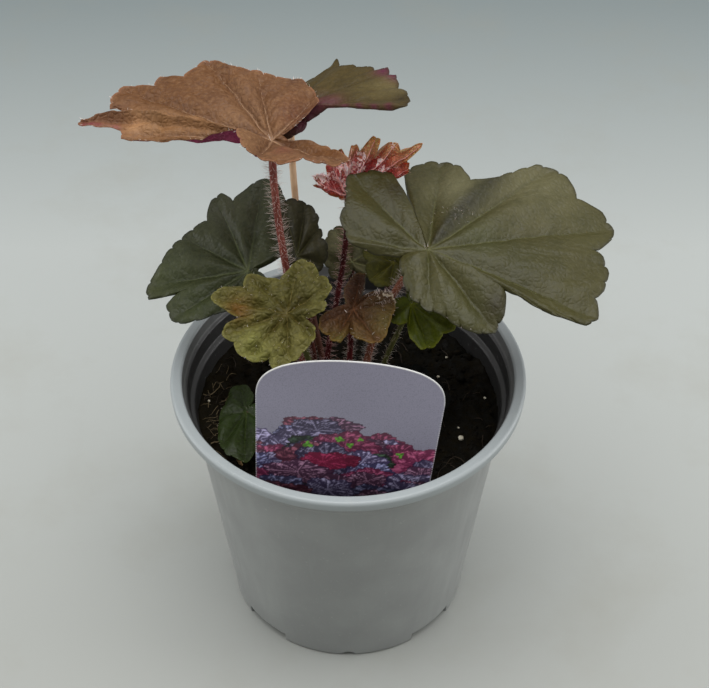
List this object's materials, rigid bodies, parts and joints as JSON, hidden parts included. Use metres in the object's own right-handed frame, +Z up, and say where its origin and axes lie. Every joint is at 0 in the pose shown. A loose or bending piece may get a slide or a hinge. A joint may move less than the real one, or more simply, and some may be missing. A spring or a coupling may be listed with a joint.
{
  "type": "heuchera plant",
  "caption": "Young heuchera with lobed, toothed leaves on hairy stems, growing in compost in a round tapered nursery pot, with its label standing in the compost.",
  "frame": {"origin": "middle of the pot's base, on the surface that the pot stands on", "axes": "+Z up, -Y towards the front, where the label stands, +X to the right seen from the front"},
  "size_m": [0.1859, 0.13, 0.2158],
  "materials": {
    "pot": "satin moulded grey polypropylene",
    "soil": "moist black peat compost",
    "plant_label": "printed glossy plastic card",
    "crown": "scaly rootstock",
    "leaf_bronze_tall": "satin bronze leaf with magenta underside",
    "leaf_olive_tall": "satin olive leaf with magenta underside",
    "leaf_pink_young": "crinkled hairy young leaf",
    "leaf_grey_wide": "satin grey-olive leaf",
    "leaf_dark_left": "satin dark green leaf",
    "leaf_shadow_back": "satin dark brown-green leaf",
    "leaf_shadow_centre": "satin dark green leaf",
    "leaf_green_under": "satin green leaf",
    "leaf_yellow_front": "puckered yellow-olive leaf",
    "leaf_red_centre": "hairy red-brown leaf",
    "leaf_green_right": "satin green leaf",
    "leaf_soil_left": "satin dark green leaf",
    "leaf_soil_right": "satin dark leaf"
  },
  "bodies": {
    "root": {"pot": "pot", "soil": "soil", "plant_label": "plant_label", "crown": "crown", "leaf_bronze_tall": "leaf_bronze_tall", "leaf_olive_tall": "leaf_olive_tall", "leaf_pink_young": "leaf_pink_young", "leaf_grey_wide": "leaf_grey_wide", "leaf_dark_left": "leaf_dark_left", "leaf_shadow_back": "leaf_shadow_back", "leaf_shadow_centre": "leaf_shadow_centre", "leaf_green_under": "leaf_green_under", "leaf_yellow_front": "leaf_yellow_front", "leaf_red_centre": "leaf_red_centre", "leaf_green_right": "leaf_green_right", "leaf_soil_left": "leaf_soil_left", "leaf_soil_right": "leaf_soil_right"}
  },
  "joints": []
}
